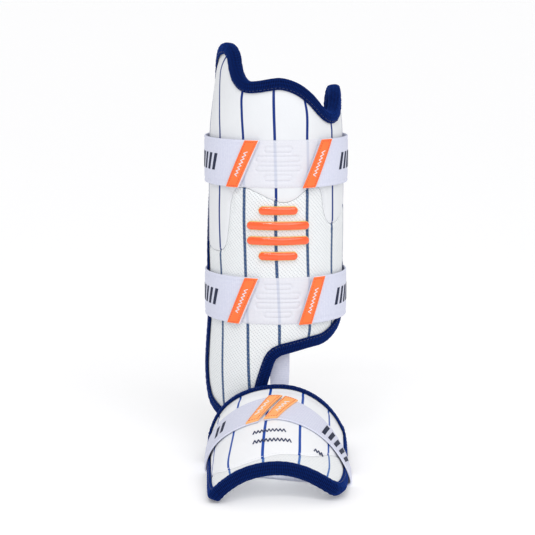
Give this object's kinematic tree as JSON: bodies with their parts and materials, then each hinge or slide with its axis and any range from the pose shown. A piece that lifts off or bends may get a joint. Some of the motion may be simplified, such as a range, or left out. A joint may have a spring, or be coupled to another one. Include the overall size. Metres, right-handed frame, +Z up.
{
  "type": "batter's leg guard",
  "caption": "Padded shin guard with closing straps and a ribbed front emblem, joined by a link strap to a padded foot guard that curves over the shoe.",
  "frame": {"origin": "point on the leg's axis where the leg holds the shin guard, 206 mm above the ground that the worn guard stands over", "axes": "+Z up along the leg, -Y the front of the leg and the way the toes point, +X to the right seen from the front"},
  "size_m": [0.1309, 0.2668, 0.372],
  "materials": {
    "lining": "brushed lining over soft foam",
    "smooth_cover": "smooth satin synthetic leather with navy stripes",
    "mesh_cover": "fine knitted mesh with navy stripes",
    "tape": "matte ribbed knit binding",
    "elastic": "woven elastic webbing",
    "loop_fabric": "brushed loop fabric",
    "tab_rubber": "stitched satin rubber",
    "rib_plastic": "glossy moulded with a thin gold edge"
  },
  "bodies": {
    "root": {"shin_pad": "lining", "shin_upper_cover": "smooth_cover", "shin_mesh_cover": "mesh_cover", "shin_binding": "tape", "upper_strap": "elastic", "upper_tab_left": "tab_rubber", "upper_tab_right": "tab_rubber", "upper_loop_panel": "loop_fabric", "lower_strap": "elastic", "lower_tab_left": "tab_rubber", "lower_tab_right": "tab_rubber", "lower_loop_panel": "loop_fabric", "emblem_rib_1": "rib_plastic", "emblem_rib_2": "rib_plastic", "emblem_rib_3": "rib_plastic", "emblem_rib_4": "rib_plastic", "foot_pad": "lining", "foot_upper_cover": "smooth_cover", "foot_toe_cover": "smooth_cover", "foot_binding": "tape", "foot_strap": "elastic", "foot_tab_left": "tab_rubber", "foot_tab_right": "tab_rubber", "link_strap": "elastic"}
  },
  "joints": []
}
